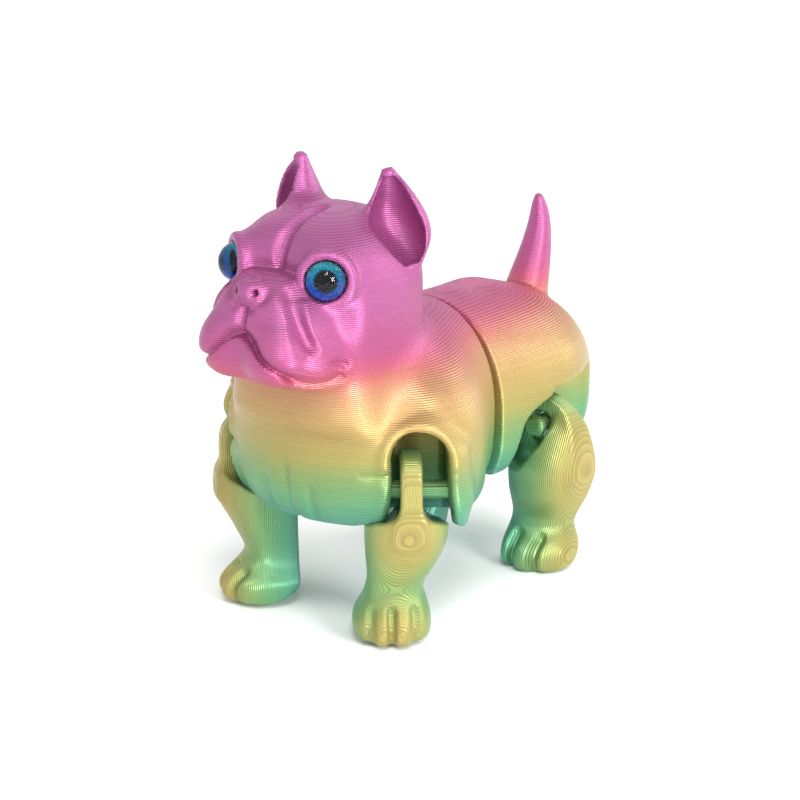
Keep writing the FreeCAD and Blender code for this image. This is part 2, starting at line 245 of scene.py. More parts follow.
def make_mesh(name, points, faces, material, flat=0):
    """A mesh object at the origin from points in metres and lists of point numbers; its last flat
    faces are shaded flat and the others smooth."""
    mesh = bpy.data.meshes.new(name)
    mesh.from_pydata(points.tolist(), [], faces)
    count = len(mesh.polygons)
    mesh.polygons.foreach_set("use_smooth", np.arange(count) < count - flat)
    mesh.materials.append(material)
    mesh.update()
    piece = bpy.data.objects.new(name, mesh)
    bpy.context.scene.collection.objects.link(piece)
    return piece


# ---- the two halves ------------------------------------------------------------------------------------

def front_axes(clay):
    """A front leg's own level axes at each sample: out from the dog and along the bar."""
    y = clay.y - AHEAD
    return clay.x * OUT[0] + y * OUT[1], clay.x * ALONG[0] + y * ALONG[1]


def chest(clay):
    """Barrel chest: level superellipses about y -10 ahead of it, sides that draw in to the waist behind
    it, and an upright superellipse section, fuller below."""
    wide = through([(-18.0, 21.3), (-13.0, 21.35), (-9.0, 21.1), (-5.0, 19.6), (0.0, 16.4),
                    (6.0, 13.3)], clay.y)
    ahead = np.maximum(-10.0 - clay.y, 0.0) / 18.6
    level = np.sqrt((clay.x / wide) ** 2 + ahead ** 2)
    rise = clay.z - 29.8
    top = through([(-26.0, 14.2), (-14.0, 15.8), (0.0, 16.4), (6.0, 15.7)], clay.y)
    power = np.where(rise > 0, 2.1, 3.0)
    tall = np.where(rise > 0, top, 15.6)
    k = (np.maximum(level, 1e-3) ** power + (np.abs(rise) / tall) ** power) ** (1 / power)
    return clay.even(((k - 1.0) * 16.0).astype(np.float32))


def ear(clay):
    """A cropped ear: a leaf-shaped cup, pointed at its tip, that opens forwards and outwards. Its
    sections across its axis are ellipses whose width follows a curve up the ear."""
    foot, tip = np.array([12.4, -13.6, 56.2]), np.array([8.2, -14.4, 70.4])
    length = np.linalg.norm(tip - foot)
    up = (tip - foot) / length
    face = np.array([0.6, -0.78, 0.1])
    face = face - up * (face @ up)
    face /= np.linalg.norm(face)
    side = np.cross(up, face)
    q = [clay.x - foot[0], clay.y - foot[1], clay.z - foot[2]]
    t = (q[0] * up[0] + q[1] * up[1] + q[2] * up[2]) / length
    s = q[0] * side[0] + q[1] * side[1] + q[2] * side[2]
    f = q[0] * face[0] + q[1] * face[1] + q[2] * face[2]
    wide = through([(-0.05, 0.3), (0.08, 2.2), (0.2, 3.4), (0.36, 3.95), (0.55, 3.5), (0.75, 2.5), (0.9, 1.5),
                    (0.98, 0.9), (1.05, 0.4)], t)
    fuller = np.exp(-((t - 0.55) / 0.24) ** 2)
    wide = np.maximum(wide + fuller, 0.1)
    s = s + 0.9 * fuller
    outer = (np.sqrt((s / wide) ** 2 + ((f + 0.3) / wide) ** 2) - 1.0) * wide
    inner = (np.sqrt((s / (wide * 0.78)) ** 2 + ((f - 1.0) / (wide * 0.95)) ** 2) - 1.0) * wide * 0.9
    inner = np.maximum(inner, (np.abs(t - 0.48) - 0.44) * length)
    ends = np.maximum(-0.05 - t, t - 1.0) * length
    body = soft_max(np.maximum(outer, ends), f - 1.5, 0.9)
    return body.astype(np.float32), inner.astype(np.float32)


FACE_WAY = (0.58, -0.75, 0.31)    # square to the side of the face


def sculpt_head(clay):
    """Skull, muzzle, lips, nose and ears, blended into one. The skull is an upright superellipse over a
    level one; the muzzle's level superellipse takes its length and width from curves of height."""
    x, y, z = clay.x, clay.y, clay.z
    rise = np.maximum(z - 52.5, 0.0) / 12.0
    power = 2.35 + 0.6 * smooth_step(-y, 15.0, 24.0)
    fore = np.abs(y + 17.4) / 12.7
    level = (np.abs(x) / 13.1) ** power + fore ** power
    skull = ((level + rise ** 2.4) ** (1 / 2.4) - 1.0) * 13.0
    skull = soft_max(clay.even(skull.astype(np.float32)), 34.0 - z, 2.0)
    clay.add(skull, 4.0)
    front = through([(38.0, -33.0), (41.0, -35.0), (43.5, -36.8), (46.5, -38.1), (50.0, -38.1), (53.0, -37.0),
                     (56.0, -35.2), (58.5, -33.0)], z)
    wide = through([(38.0, 9.6), (43.0, 11.2), (46.5, 11.4), (50.0, 10.6), (54.0, 8.6), (57.5, 6.4),
                    (60.0, 5.0)], z)
    muzzle = (np.abs(x) / wide) ** 2.7 + (np.abs(y + 26.0) / (-26.0 - front)) ** 2.7
    muzzle = clay.even(((muzzle ** (1 / 2.7) - 1.0) * 10.0).astype(np.float32))
    muzzle = soft_max(soft_max(muzzle, z - 57.3 - 0.1 * (y + 30.0), 2.6), 40.4 - z, 3.5)
    clay.add(muzzle, 1.6)
    clay.add(clay.ball((4.4, -35.4, 46.6), (4.6, 3.6, 4.6)), 1.2)
    clay.add(clay.ball((0.0, -34.9, 55.0), (2.8, 2.3, 2.1)), 0.7)
    cup, hollow = ear(clay)
    clay.add(cup, 2.6)
    clay.cut(hollow, 0.5)


def detail_head(clay):
    """The face's lids, folds and creases: grooves and ridges along curves, and soft swells."""
    level_way, brow_way = (0, 1, 0), (0, -0.7, 0.7)
    for points, depth, width, fade, way in (
            # furrow of the brow, from the nose to the crown
            ([(0, -29.9, 56.6), (0, -28.9, 59.6), (0, -25.6, 62.6), (0, -17, 65.0)],
             1.7, 0.95, 0.15, brow_way),
            # parting of the upper lip
            ([(0, -37.2, 53.6), (0, -38.2, 51.6), (0, -38.4, 48.6)], 1.5, 0.75, 0.15, level_way),
            # mouth, and the turn of its corner
            ([(0, -37.4, 49.6), (1.4, -37.4, 49.0), (2.8, -37.6, 47.8), (4.1, -37.4, 46.0),
              (6.4, -36.0, 44.3), (9.0, -33.7, 42.9), (10.9, -30.6, 42.9), (11.9, -29.0, 43.9)],
             1.3, 0.62, 0.04, FACE_WAY),
            ([(12.2, -28.6, 44.2), (11.8, -29.4, 45.2), (11.0, -31.4, 45.3)], 1.2, 0.55, 0.3, FACE_WAY),
            # fold from the nose down the cheek, and the ridge beside it
            ([(4.6, -33.3, 57.0), (6.6, -34.3, 55.1), (8.1, -34.7, 52.2), (9.5, -34.0, 48.6),
              (10.2, -32.9, 46.6)], 1.3, 1.2, 0.3, FACE_WAY),
            ([(7.9, -33.4, 55.6), (8.8, -33.7, 53.0), (9.9, -33.3, 49.9), (10.8, -32.2, 47.2)],
             -0.45, 0.8, 0.4, FACE_WAY),
            # fold across the top of the nose
            ([(-2.0, -29.8, 57.2), (2.0, -29.9, 57.3), (4.4, -30.6, 57.0), (6.6, -32.2, 55.4),
              (7.4, -32.6, 54.0)], 1.2, 0.8, 0.15, (0.0, 0.0, 0.0))):
        clay.crease(points, depth, width, fade, way)
    for centre, radii, amount in (((5.0, -26.6, 60.6), (3.2, 3.0, 2.6), 0.7),      # brow
                                  ((0, -36.0, 44.6), (3.6, 2.4, 2.4), 0.5),        # chin
                                  ((11.8, -30.2, 50.4), (2.4, 2.8, 2.2), -1.0),    # hollow of the cheek
                                  ((12.6, -25.8, 50.0), (3.0, 3.2, 5.0), 0.6)):    # cheekbone
        clay.swell(centre, radii, amount)
    clay.cut(clay.rod((1.45, -38.5, 54.9), (1.7, -35.6, 55.4), 0.72, 0.4), 0.35)   # nostril
    clay.crease([(2.5, -37.3, 53.7), (3.3, -36.8, 55.0), (2.9, -36.2, 56.6)], 0.6, 0.5, 0.2, level_way)
    clay.crease([(0.7, -38.2, 53.0), (2.4, -37.8, 53.1)], 0.5, 0.5, 0.3, level_way)
    # ridge of the upper lid, and the dip above it
    clay.crease([(6.2, -31.6, 57.6), (6.6, -29.4, 60.0), (9.2, -26.9, 60.6), (11.8, -25.0, 58.6)],
                -0.45, 0.8, 0.3, FACE_WAY)
    clay.swell((8.4, -26.0, 62.0), (2.4, 2.6, 1.2), -0.4)


def front_socket(clay):
    """The front leg's socket: an arched pocket along the leg's own out axis, with a raised rim, and the
    sector that the leg sweeps round its bar."""
    z = clay.z
    out, along = front_axes(clay)
    arch = np.sqrt((along - 14.35) ** 2 + np.maximum(z - 29.0, 0.0) ** 2) - 4.15
    arch = arch - 0.8 * smooth_step(-z, -25.0, -17.0)
    clay.d -= 0.5 * np.exp(-((arch - 1.2) / 1.0) ** 2) * smooth_step(out, 3.0, 7.0)
    pocket = soft_max(arch, 0.6 - out, 1.5)
    clay.cut(pocket.astype(np.float32), 1.0)
    reach = np.sqrt((out - FRONT_BAR[0]) ** 2 + (z - FRONT_BAR[1]) ** 2)
    turn = np.arctan2(z - FRONT_BAR[1], out - FRONT_BAR[0])
    swept = np.maximum(5.5 - reach, (turn - math.radians(40)) * reach)
    swept = np.maximum(np.maximum(swept, -(turn + math.radians(92)) * reach), np.abs(along - 12.9) - 7.2)
    clay.cut(swept.astype(np.float32), 0.8)


def eye_socket(clay):
    """The eye's mound, a ball behind the seat, with a rounded ring for its lid and a flat-floored round
    seat cut into it."""
    seat, facing = eye_place()
    x, y, z = clay.x - seat[0], clay.y - seat[1], clay.z - seat[2]
    toward = x * facing[0] + y * facing[1] + z * facing[2]
    apart = np.sqrt(np.maximum(x ** 2 + y ** 2 + z ** 2 - toward ** 2, 0))
    lid = np.sqrt((apart - 3.75) ** 2 + (toward + 0.1) ** 2) - 0.62
    back = [c - 3.2 * f for c, f in zip(seat, facing)]
    clay.add(clay.ball(back, (4.35, 4.35, 4.35)), 1.8)
    clay.add(lid.astype(np.float32), 1.2)
    clay.cut(soft_max(apart - 3.06, -toward, 0.1).astype(np.float32), 0.3)


def front_clay(pitch):
    """The front half: the chest with a shoulder and a bent rod for the socket's rim, then the head, the
    sockets, folds below the neck and the eyes, cut level below and square at the waist."""
    clay = Clay((0, -42, 16.6), (24, 7.2, 71.6), pitch, mirror=True)
    clay.d = chest(clay)
    clay.add(clay.ball((11.2, -7.2, 21.4), (7.4, 8.8, 6.2)), 1.0)
    rim = [(6.8, 19.7, 14.0), (7.6, 19.8, 22.0), (8.8, 18.9, 28.8), (8.8, 14.4, 32.4)]
    world = [(u * OUT[0] + v * ALONG[0], u * OUT[1] + v * ALONG[1] + AHEAD, h) for u, v, h in rim]
    for a, b in zip(world, world[1:]):
        clay.add(clay.rod(a, b, 1.6, 1.6), 3.2)
    sculpt_head(clay)
    detail_head(clay)
    front_socket(clay)
    clay.crease([(0, -28.4, 30.0), (0, -27.2, 25.0), (0, -24.5, 19.0), (0, -22.0, 16.0)],
                0.5, 0.9, 0.3, (0, 1, 0))
    clay.crease([(4.4, -28.0, 26.0), (3.8, -26.6, 21.5), (3.4, -24.6, 17.6)], 0.4, 0.8, 0.3, (0.4, -0.9, 0))
    clay.swell((14.0, -21.0, 35.0), (4.2, 3.6, 4.0), -0.7)
    eye_socket(clay)
    clay.trim(clay.y - 5.75, 0.4)
    clay.trim(BED - clay.z, 0.7)
    return clay


def eye_place():
    """The left eye's seat and the way it faces, in millimetres, from the iris disc in the frame."""
    low, high = (np.array(c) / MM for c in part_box("left_eye_iris"))
    facing = np.array([math.sin(EYE_TURN), -math.cos(EYE_TURN), 0.0])
    return (low + high) / 2 - facing * 0.15, facing


def tail(clay):
    """The tail: short round rods along a smooth curve, each narrower than the last."""
    spine = [(0, 31.4, 37.0), (0, 33.2, 42.0), (0, 34.9, 46.3), (0, 35.95, 50.6), (0, 35.95, 53.6),
             (0, 35.75, 55.3)]
    sizes = [4.2, 3.35, 2.65, 1.95, 1.35, 0.75]
    line = smooth_path(spine, 4)
    radii = through(list(enumerate(sizes)), np.linspace(0, len(sizes) - 1, len(line)))
    for i in range(len(line) - 1):
        clay.add(clay.rod(line[i], line[i + 1], radii[i], radii[i + 1]), 1.6 if i == 0 else 0.05)


def rear_socket(clay):
    """The rear leg's socket: all that lies below a lip, behind a front edge and outside a wall, with a
    round lug that carries the bar and a slot for the leg's ring."""
    x, y, z = clay.x, clay.y, clay.z
    lip = through([(10.4, 18.5), (11.6, 23.1), (14.3, 27.4), (18.3, 28.9), (24.0, 29.9), (31.0, 30.3),
                   (42.0, 30.4)], y)
    front = through([(16.0, 10.2), (18.5, 10.5), (23.1, 11.8), (27.4, 14.4), (28.9, 18.3), (60.0, 19.0)], z)
    wall = through([(10.0, 10.2), (28.0, 10.0), (34.0, 12.4), (42.0, 13.2)], y)
    socket = soft_max(soft_max(z - lip, front - y, 2.5), wall - x, 1.4)
    clay.cut(socket.astype(np.float32), 1.5)
    reach = np.sqrt((x - REAR_BAR[0]) ** 2 + (z - REAR_BAR[1]) ** 2)
    gap = np.abs(y - REAR_RING_Y)
    lug = soft_max(reach - 1.7, gap - 3.6, 0.5)
    clay.add(lug.astype(np.float32), 1.2)
    slot = soft_max(soft_max(gap - 2.15, (REAR_BAR[0] - 6.5) - x, 0.5), z - (REAR_BAR[1] + 6.5), 0.8)
    clay.cut(slot, 0.5)


def rear_clay(pitch):
    """The rear half: an upright superellipse section, squarer below, over a level one that closes behind
    the hips, with the tail and sockets, and a front face that leans back from the middle."""
    clay = Clay((0, 5.6, 16.6), (18, 41.6, 57.4), pitch, mirror=True)
    x, y, z = clay.x, clay.y, clay.z
    wide = through([(6.0, 13.4), (9.0, 13.9), (14.0, 14.9), (21.0, 15.4), (40.0, 15.4)], y)
    behind = np.maximum(y - 21.0, 0.0) / 19.2
    level = ((x / wide) ** 2.2 + behind ** 2.2) ** (1 / 2.2)
    rise = z - 28.0
    top = through([(6.0, 17.3), (12.0, 16.9), (20.0, 16.4), (28.0, 15.6), (40.0, 14.6)], y)
    power = np.where(rise > 0, 2.15, 3.4)
    tall = np.where(rise > 0, top, 13.2)
    k = (np.maximum(level, 1e-3) ** power + (np.abs(rise) / tall) ** power) ** (1 / power)
    clay.d = clay.even(((k - 1.0) * 14.0).astype(np.float32))
    tail(clay)
    clay.swell((0, 11.6, 45.0), (3.6, 3.0, 3.0), 0.7)
    clay.swell((2.2, 20.0, 44.6), (3.6, 3.6, 3.0), 0.6)
    clay.swell((14.6, 24.0, 34.0), (4.0, 6.0, 5.0), 0.7)
    rear_socket(clay)
    clay.trim(6.3 + np.maximum(x - 3.0, 0.0) * math.tan(math.radians(6.8)) - y, 0.3)
    clay.trim(BED - z, 0.7)
    return clay


# ---- legs ----------------------------------------------------------------------------------------------

def leg_ring(clay, u, v, bar, middle, foot, reach, power, squeeze=1.0):
    """The ring that hangs the leg on its bar: a plate across the bar, round inside the socket and
    squarer outside it by power, with a rounded window for the bar."""
    du, dz = u - bar[0], clay.z - bar[1]
    power = np.where((du > 0) & (dz > 0), power, 2.0)
    outer = (np.abs(du * squeeze) ** power + np.abs(np.maximum(dz, 0)) ** power) ** (1 / power) - reach
    outer = soft_max(outer, foot - clay.z, 1.0)
    hole = soft_max(np.abs(du) - reach + 2.7, np.abs(dz + 0.6) - reach + 2.2, 2.2)
    plate = soft_max(outer, np.abs(v - middle) - 1.65, 0.8)
    return plate.astype(np.float32), hole.astype(np.float32)


def front_leg_clay(pitch):
    """The left front leg, in its own axes: x is out from the dog, y along the bar. A column of level
    superellipses with a swelling knee, cut to a slope on top and lifted under the heel, then its ring."""
    clay = Clay((0.6, 2.6, -0.6), (17.4, 20.4, 31.0), pitch)
    u, v, z = clay.x, clay.y, clay.z
    stations = [  # height, back, front, low v, high v
        (-1.0, 2.4, 12.0, 5.4, 15.4), (1.8, 2.0, 13.9, 4.5, 16.1), (4.0, 2.0, 13.6, 4.6, 16.1),
        (6.0, 2.0, 11.8, 5.8, 15.5), (7.8, 2.0, 10.3, 6.5, 15.1), (10.5, 2.0, 11.0, 6.6, 16.2),
        (13.2, 2.0, 12.2, 6.4, 17.6), (16.2, 2.0, 12.9, 6.3, 18.4), (19.0, 2.0, 12.7, 6.4, 18.7)]
    clay.d = clay.column(stations, u, v, 4.0, 2.0)
    clay.add(clay.ball((8.2, 12.7, 18.2), (6.0, 5.2, 5.4)), 2.0)
    slope = 17.5 + np.clip(u - 5.0, 0.0, 8.0) * 0.34
    clay.trim(z - slope, 0.7)
    plate, hole = leg_ring(clay, u, v, FRONT_BAR, 13.1, 17.5, 6.0, 3.2)
    clay.add(plate, 2.8)
    clay.cut(hole, 0.7)
    for groove in (7.1, 10.2, 13.7):
        lean = (groove - 10.4) * 0.12
        clay.crease([(10.4, groove - lean, 6.6), (12.0, groove, 5.4), (13.2, groove, 3.6),
                     (13.4, groove, 1.6), (12.4, groove, -0.8)], 1.3, 0.6, 0.25, (0.9, 0, 0.3))
    heel = 2.4 * smooth_step(-u, -7.5, -1.5)
    clay.trim(heel - z, 1.6)
    for toe in (8.6, 11.9):
        clay.swell((13.4, toe, 2.4), (1.6, 1.2, 1.8), 0.4)
    clay.trim(-z, 1.6)
    return clay


def rear_leg_clay(pitch):
    """The left rear leg, in its own axes: x is out from the dog, y runs back from the shoulder line. A
    column of level superellipses, lower on its inner side, then its ring."""
    clay = Clay((5.8, 31.0, -0.6), (22.0, 50.4, 31.0), pitch)
    u, v, z = clay.x, clay.y, clay.z
    stations = [  # height, inner side, outer side, front, back
        (-1.0, 7.9, 17.6, 34.4, 43.6), (1.8, 7.4, 19.0, 33.0, 44.4), (4.4, 7.3, 18.8, 34.0, 45.0),
        (6.9, 7.2, 17.4, 36.8, 45.2), (9.0, 7.2, 17.8, 36.8, 46.4), (11.8, 7.2, 19.2, 35.4, 47.4),
        (14.8, 7.2, 20.2, 34.6, 47.8), (17.6, 7.2, 20.4, 34.8, 47.4), (20.2, 7.2, 20.0, 35.8, 46.4),
        (23.0, 7.2, 18.8, 37.2, 45.2), (25.5, 7.2, 16.6, 39.5, 43.5)]
    clay.d = clay.column(stations, u, v, 2.6, 2.15)
    top = 17.4 + smooth_step(u, 11.0, 16.0) * 6.6
    clay.trim(z - top, 1.6)
    plate, hole = leg_ring(clay, u, v, REAR_BAR, 41.0, 17.0, 4.7, 2.0, 0.85)
    clay.add(plate, 3.0)
    clay.cut(hole, 0.7)
    for groove in (10.9, 15.0):
        lean = (groove - 13.1) * 0.12
        clay.crease([(groove - lean, 36.4, 6.8), (groove, 35.0, 5.4), (groove, 33.8, 3.6),
                     (groove, 33.6, 1.6), (groove, 34.8, -0.8)], 1.7, 0.8, 0.25, (0, -0.9, 0.3))
    clay.swell((18.6, 34.4, 3.2), (2.2, 1.8, 3.4), -1.3)
    clay.trim(-z, 1.6)
    return clay


def leg_pair(name, points, faces, body, node, materials):
    """The left leg, and the right one as its mirror image with its faces turned back outwards."""
    for side, sign in SIDES:
        turned = faces if sign > 0 else faces[:, ::-1]
        piece = make_mesh(name.format(side), points * np.array([sign, 1.0, 1.0]), turned.tolist(),
                          materials[side])
        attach(piece, body.format(side))
        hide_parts(node.format(side))


# ---- shader expressions -----------------------------------------------------------------------------

class Wire:
    """A socket's value, on which the usual arithmetic adds Math nodes."""

    def __init__(self, tree, socket):
        self.tree, self.socket = tree, socket

    def math(self, operation, *others):
        """A Math node of the given operation on this value and the others."""
        return self.tree.node("ShaderNodeMath", {"operation": operation}, [self, *others])

    def __add__(self, other):
        return self.math("ADD", other)

    __radd__ = __add__

    def __mul__(self, other):
        return self.math("MULTIPLY", other)

    __rmul__ = __mul__

    def __sub__(self, other):
        return self.math("SUBTRACT", other)

    def __rsub__(self, other):
        return self.tree.node("ShaderNodeMath", {"operation": "SUBTRACT"}, [other, self])

    def __truediv__(self, other):
        return self.math("DIVIDE", other)

    def step(self, low, high):
        """0 below low, 1 above high, smooth between."""
        return self.tree.node("ShaderNodeMapRange", {"interpolation_type": "SMOOTHSTEP"},
                              {"Value": self, "From Min": low, "From Max": high})


class Tree:
    """A material's node tree with a Principled shader, and the one way in which nodes are added to it."""

    def __init__(self, name, **values):
        self.material = bpy.data.materials.new(name)
        self.material.use_nodes = True
        self.nodes = self.material.node_tree.nodes
        self.links = self.material.node_tree.links
        self.shader = self.nodes["Principled BSDF"]
        self.feed(self.shader, {key.replace("_", " "): value for key, value in values.items()})

    def feed(self, node, inputs):
        """Links or sets a node's inputs, given by name or in order."""
        pairs = inputs.items() if isinstance(inputs, dict) else enumerate(inputs)
        for key, value in pairs:
            if isinstance(value, Wire):
                self.links.new(value.socket, node.inputs[key])
            elif isinstance(value, (tuple, list)) and len(value) == 3:
                kind = node.inputs[key].type
                node.inputs[key].default_value = (*value, 1.0) if kind == "RGBA" else value
            else:
                node.inputs[key].default_value = value

    def node(self, kind, settings=None, inputs=None, out=0):
        """A new node with its settings and inputs; returns the output of the given number."""
        node = self.nodes.new(kind)
        for key, value in (settings or {}).items():
            if key == "stops":
                while len(node.color_ramp.elements) < len(value):
                    node.color_ramp.elements.new(0.5)
                for element, (place, colour) in zip(node.color_ramp.elements, value):
                    element.position = place
                    element.color = (*colour, 1.0)
            else:
                setattr(node, key, value)
        self.feed(node, inputs or {})
        return Wire(self, node.outputs[out])

    def dot(self, first, second):
        """The dot product of two vectors."""
        return self.node("ShaderNodeVectorMath", {"operation": "DOT_PRODUCT"}, [first, second], out=1)

    def vector(self, *parts):
        """A vector of three values."""
        return self.node("ShaderNodeCombineXYZ", {}, parts)

    def noise(self, place, scale, detail):
        """Noise at a place, from 0 to 1."""
        return self.node("ShaderNodeTexNoise", {}, {"Vector": place, "Scale": scale, "Detail": detail})

    def ramp(self, value, stops):
        """A colour that changes with value through (place, colour) stops."""
        return self.node("ShaderNodeValToRGB", {"stops": stops}, [value])

    def mix(self, factor, first, second, blend_type="MIX"):
        """A mix of two colours, or their blend of the given kind by the factor."""
        return self.node("ShaderNodeMix", {"data_type": "RGBA", "blend_type": blend_type},
                         {0: factor, 6: first, 7: second}, out=2)

    def finish(self, **inputs):
        """Feeds the shader's inputs and returns the material."""
        self.feed(self.shader, {key.replace("_", " "): value for key, value in inputs.items()})
        return self.material


def linear(colour):
    """A colour given on the 0 to 255 display scale, as the shader's linear values."""
    c = np.array(colour) / 255.0
    return tuple(np.where(c <= 0.04045, c / 12.92, ((c + 0.055) / 1.055) ** 2.4))


# Colours down the spool, by millimetres of print height
SPOOL = [(0.0, (80, 148, 132)), (3.0, (92, 158, 120)), (6.0, (112, 160, 106)), (8.5, (134, 158, 96)),
         (11.0, (164, 156, 88)), (15.0, (176, 150, 90)), (19.0, (182, 144, 96)), (21.5, (184, 130, 98)),
         (23.5, (186, 106, 100)), (25.5, (182, 84, 116)), (28.0, (172, 80, 128)), (34.0, (168, 86, 138)),
         (53.0, (166, 86, 142))]
SPOOL_LENGTH = SPOOL[-1][0]
PASS_WIDTH = 0.42 * MM     # width of one pass of the nozzle on a level top


def silk(name, axis, start):
    """Silk filament in layers: the spool's colours by print height, beads on steep walls, terraces on
    shallow slopes, fine passes of the nozzle on level tops, and a pearly, tinted shine. Layers are a sine
    and a saw tooth of the height along axis, above start in millimetres, and noise makes them wander. The
    colour is darkened as painted shade in the grooves between beads and on the riser of each terrace,
    and its tone differs at random from layer to layer."""
    look = bpy.context.scene.bulldog
    tree = Tree(name, Metallic=0.55, IOR=1.5, Specular_IOR_Level=0.5, Coat_Weight=0.1, Coat_Roughness=0.3)
    place = tree.node("ShaderNodeTexCoord", out=3)
    normal = tree.node("ShaderNodeTexCoord", out=1)
    pitch = look.layer_pitch / MM
    height = tree.dot(place, axis) / MM - start
    level = tree.dot(normal, axis).math("ABSOLUTE")
    layer = height / pitch + (tree.noise(place, 160.0, 2.0) - 0.5) * 0.5
    bead = (layer * (2 * math.pi)).math("SINE") * 0.5 + 0.5
    share = layer.math("FRACT")
    odd = tree.node("ShaderNodeTexWhiteNoise", {"noise_dimensions": "1D"}, {"W": layer.math("FLOOR")})
    shallow = level.step(0.35, 0.8)
    relief = bead * ((1.0 - shallow) * (look.bead_depth / MM) + shallow * 0.07)
    relief = relief + (1.0 - share) * level * shallow * pitch + odd * 0.008
    passes = (tree.dot(place, (0.7, 0.7, 0.1)) * (2 * math.pi / PASS_WIDTH)).math("SINE")
    passes = passes * level.step(0.97, 0.995) * 0.014
    bump = tree.node("ShaderNodeBump", {}, {"Strength": 1.0, "Distance": MM, "Height": relief + passes})
    wander = tree.noise(place, 70.0, 1.0)
    spool = (height + (wander - 0.5) * 2.4) / SPOOL_LENGTH
    colour = tree.ramp(spool, [(h / SPOOL_LENGTH, linear(c)) for h, c in SPOOL])
    # Mask of each terrace's riser, where the colour gets painted shade so the step shows
    riser_shade_mask = share.step(0.72, 0.98) * level.step(0.3, 0.7)
    # Painted shade: darker in the grooves between beads and on the risers; the odd term is the layer's own
    # random tone
    painted_shade_and_layer_tone = bead * 0.13 + odd * 0.06 + 0.86 - riser_shade_mask * 0.2
    colour = tree.node("ShaderNodeVectorMath", {"operation": "MULTIPLY"},
                       [colour, tree.vector(painted_shade_and_layer_tone, painted_shade_and_layer_tone, painted_shade_and_layer_tone)])
    rough = shallow * 0.12 + wander * 0.1 + look.sheen_roughness
    return tree.finish(Base_Color=colour, Roughness=rough, Normal=bump)


# Colours up an iris, by share of its height
IRIS_BAND = [(0.0, linear((24, 60, 170))), (0.4, linear((16, 88, 168))), (0.75, linear((22, 140, 160))),
             (1.0, linear((50, 178, 176)))]
PUPIL = linear((8, 10, 16))


def iris_material(side):
    """A printed iris: a black pupil, a band of fine rays from teal above to blue below, and a dark rim.
    The rays are noise over the angle and radius from the seat; pupil and rim are steps of the radius."""
    seat, facing = eye_place()
    seat = seat * MM
    if side == "right":
        seat, facing = seat * np.array([-1, 1, 1]), facing * np.array([-1, 1, 1])
    tree = Tree("iris_" + side, Roughness=0.5, Specular_IOR_Level=0.0)
    place = tree.node("ShaderNodeTexCoord", out=3)
    from_seat = tree.node("ShaderNodeVectorMath", {"operation": "SUBTRACT"}, [place, tuple(seat)])
    a = tree.dot(from_seat, (-facing[1], facing[0], 0.0)) / MM
    b = tree.dot(from_seat, (0, 0, 1)) / MM
    radius = (a * a + b * b).math("SQRT") / 2.9
    turn = b.math("ARCTAN2", a)
    ray = tree.node("ShaderNodeTexNoise", {"noise_dimensions": "2D"},
                    {"Vector": tree.vector(turn * 5.0, radius * 1.5, 0.0), "Scale": 2.2, "Detail": 4.0})
    band = tree.ramp(b / 5.8 + 0.5, IRIS_BAND)
    fibre = tree.ramp(ray, [(0.3, (0.15, 0.2, 0.3)), (0.7, (1.0, 1.0, 1.0))])
    rays = tree.mix(0.75, band, fibre, "MULTIPLY")
    dark = (1.0 - radius.step(0.4, 0.56)).math("MAXIMUM", radius.step(0.84, 0.99))
    return tree.finish(Base_Color=tree.mix(dark, rays, PUPIL))


def glass_material():
    """Clear glass with the slightest haze of handling, as noise in its roughness."""
    tree = Tree("eye_glass", Transmission_Weight=1.0, IOR=1.36)
    haze = tree.noise(tree.node("ShaderNodeTexCoord", out=3), 900.0, 3.0)
    return tree.finish(Base_Color=(1.0, 1.0, 1.0), Roughness=haze * 0.03 + 0.005)


def eye_dome():
    """The left eye's dome as points in metres and faces: a spherical cap of EYE_REACH radius and EYE_TALL
    height in rings about the way the eye faces, closed at its top and over its flat base. Returns the
    points, the cap's faces and the base's faces."""
    seat, facing = eye_place()
    turn, lift = np.meshgrid(np.linspace(0, 2 * math.pi, 97)[:-1], np.linspace(0, 1, 25)[1:], indexing="ij")
    ball = (EYE_REACH ** 2 + EYE_TALL ** 2) / (2 * EYE_TALL)
    across, up = np.array([-facing[1], facing[0], 0.0]), np.array([0, 0, 1.0])
    r = EYE_REACH * lift
    h = EYE_SINK + np.sqrt(ball ** 2 - r ** 2) - (ball - EYE_TALL)
    dome = seat + r[..., None] * (np.cos(turn)[..., None] * across + np.sin(turn)[..., None] * up)
    dome = dome + h[..., None] * facing
    top, back = seat + facing * (EYE_SINK + EYE_TALL), seat + facing * EYE_SINK
    points = np.concatenate([dome.reshape(-1, 3), [top], [back]]) * MM
    count, rings = lift.shape
    i = np.arange(count)
    j = (i + 1) % count
    k = np.arange(rings - 1)
    near, far = i[:, None] * rings + k, j[:, None] * rings + k
    quads = np.stack([near, near + 1, far + 1, far], -1).reshape(-1, 4)
    top, back = np.full(count, len(points) - 2), np.full(count, len(points) - 1)
    cap = np.stack([top, i * rings, j * rings], 1)
    base = np.stack([back, j * rings + rings - 1, i * rings + rings - 1], 1)
    return points, quads.tolist() + cap.tolist(), base.tolist()


# ---- the add-on -----------------------------------------------------------------------------------------

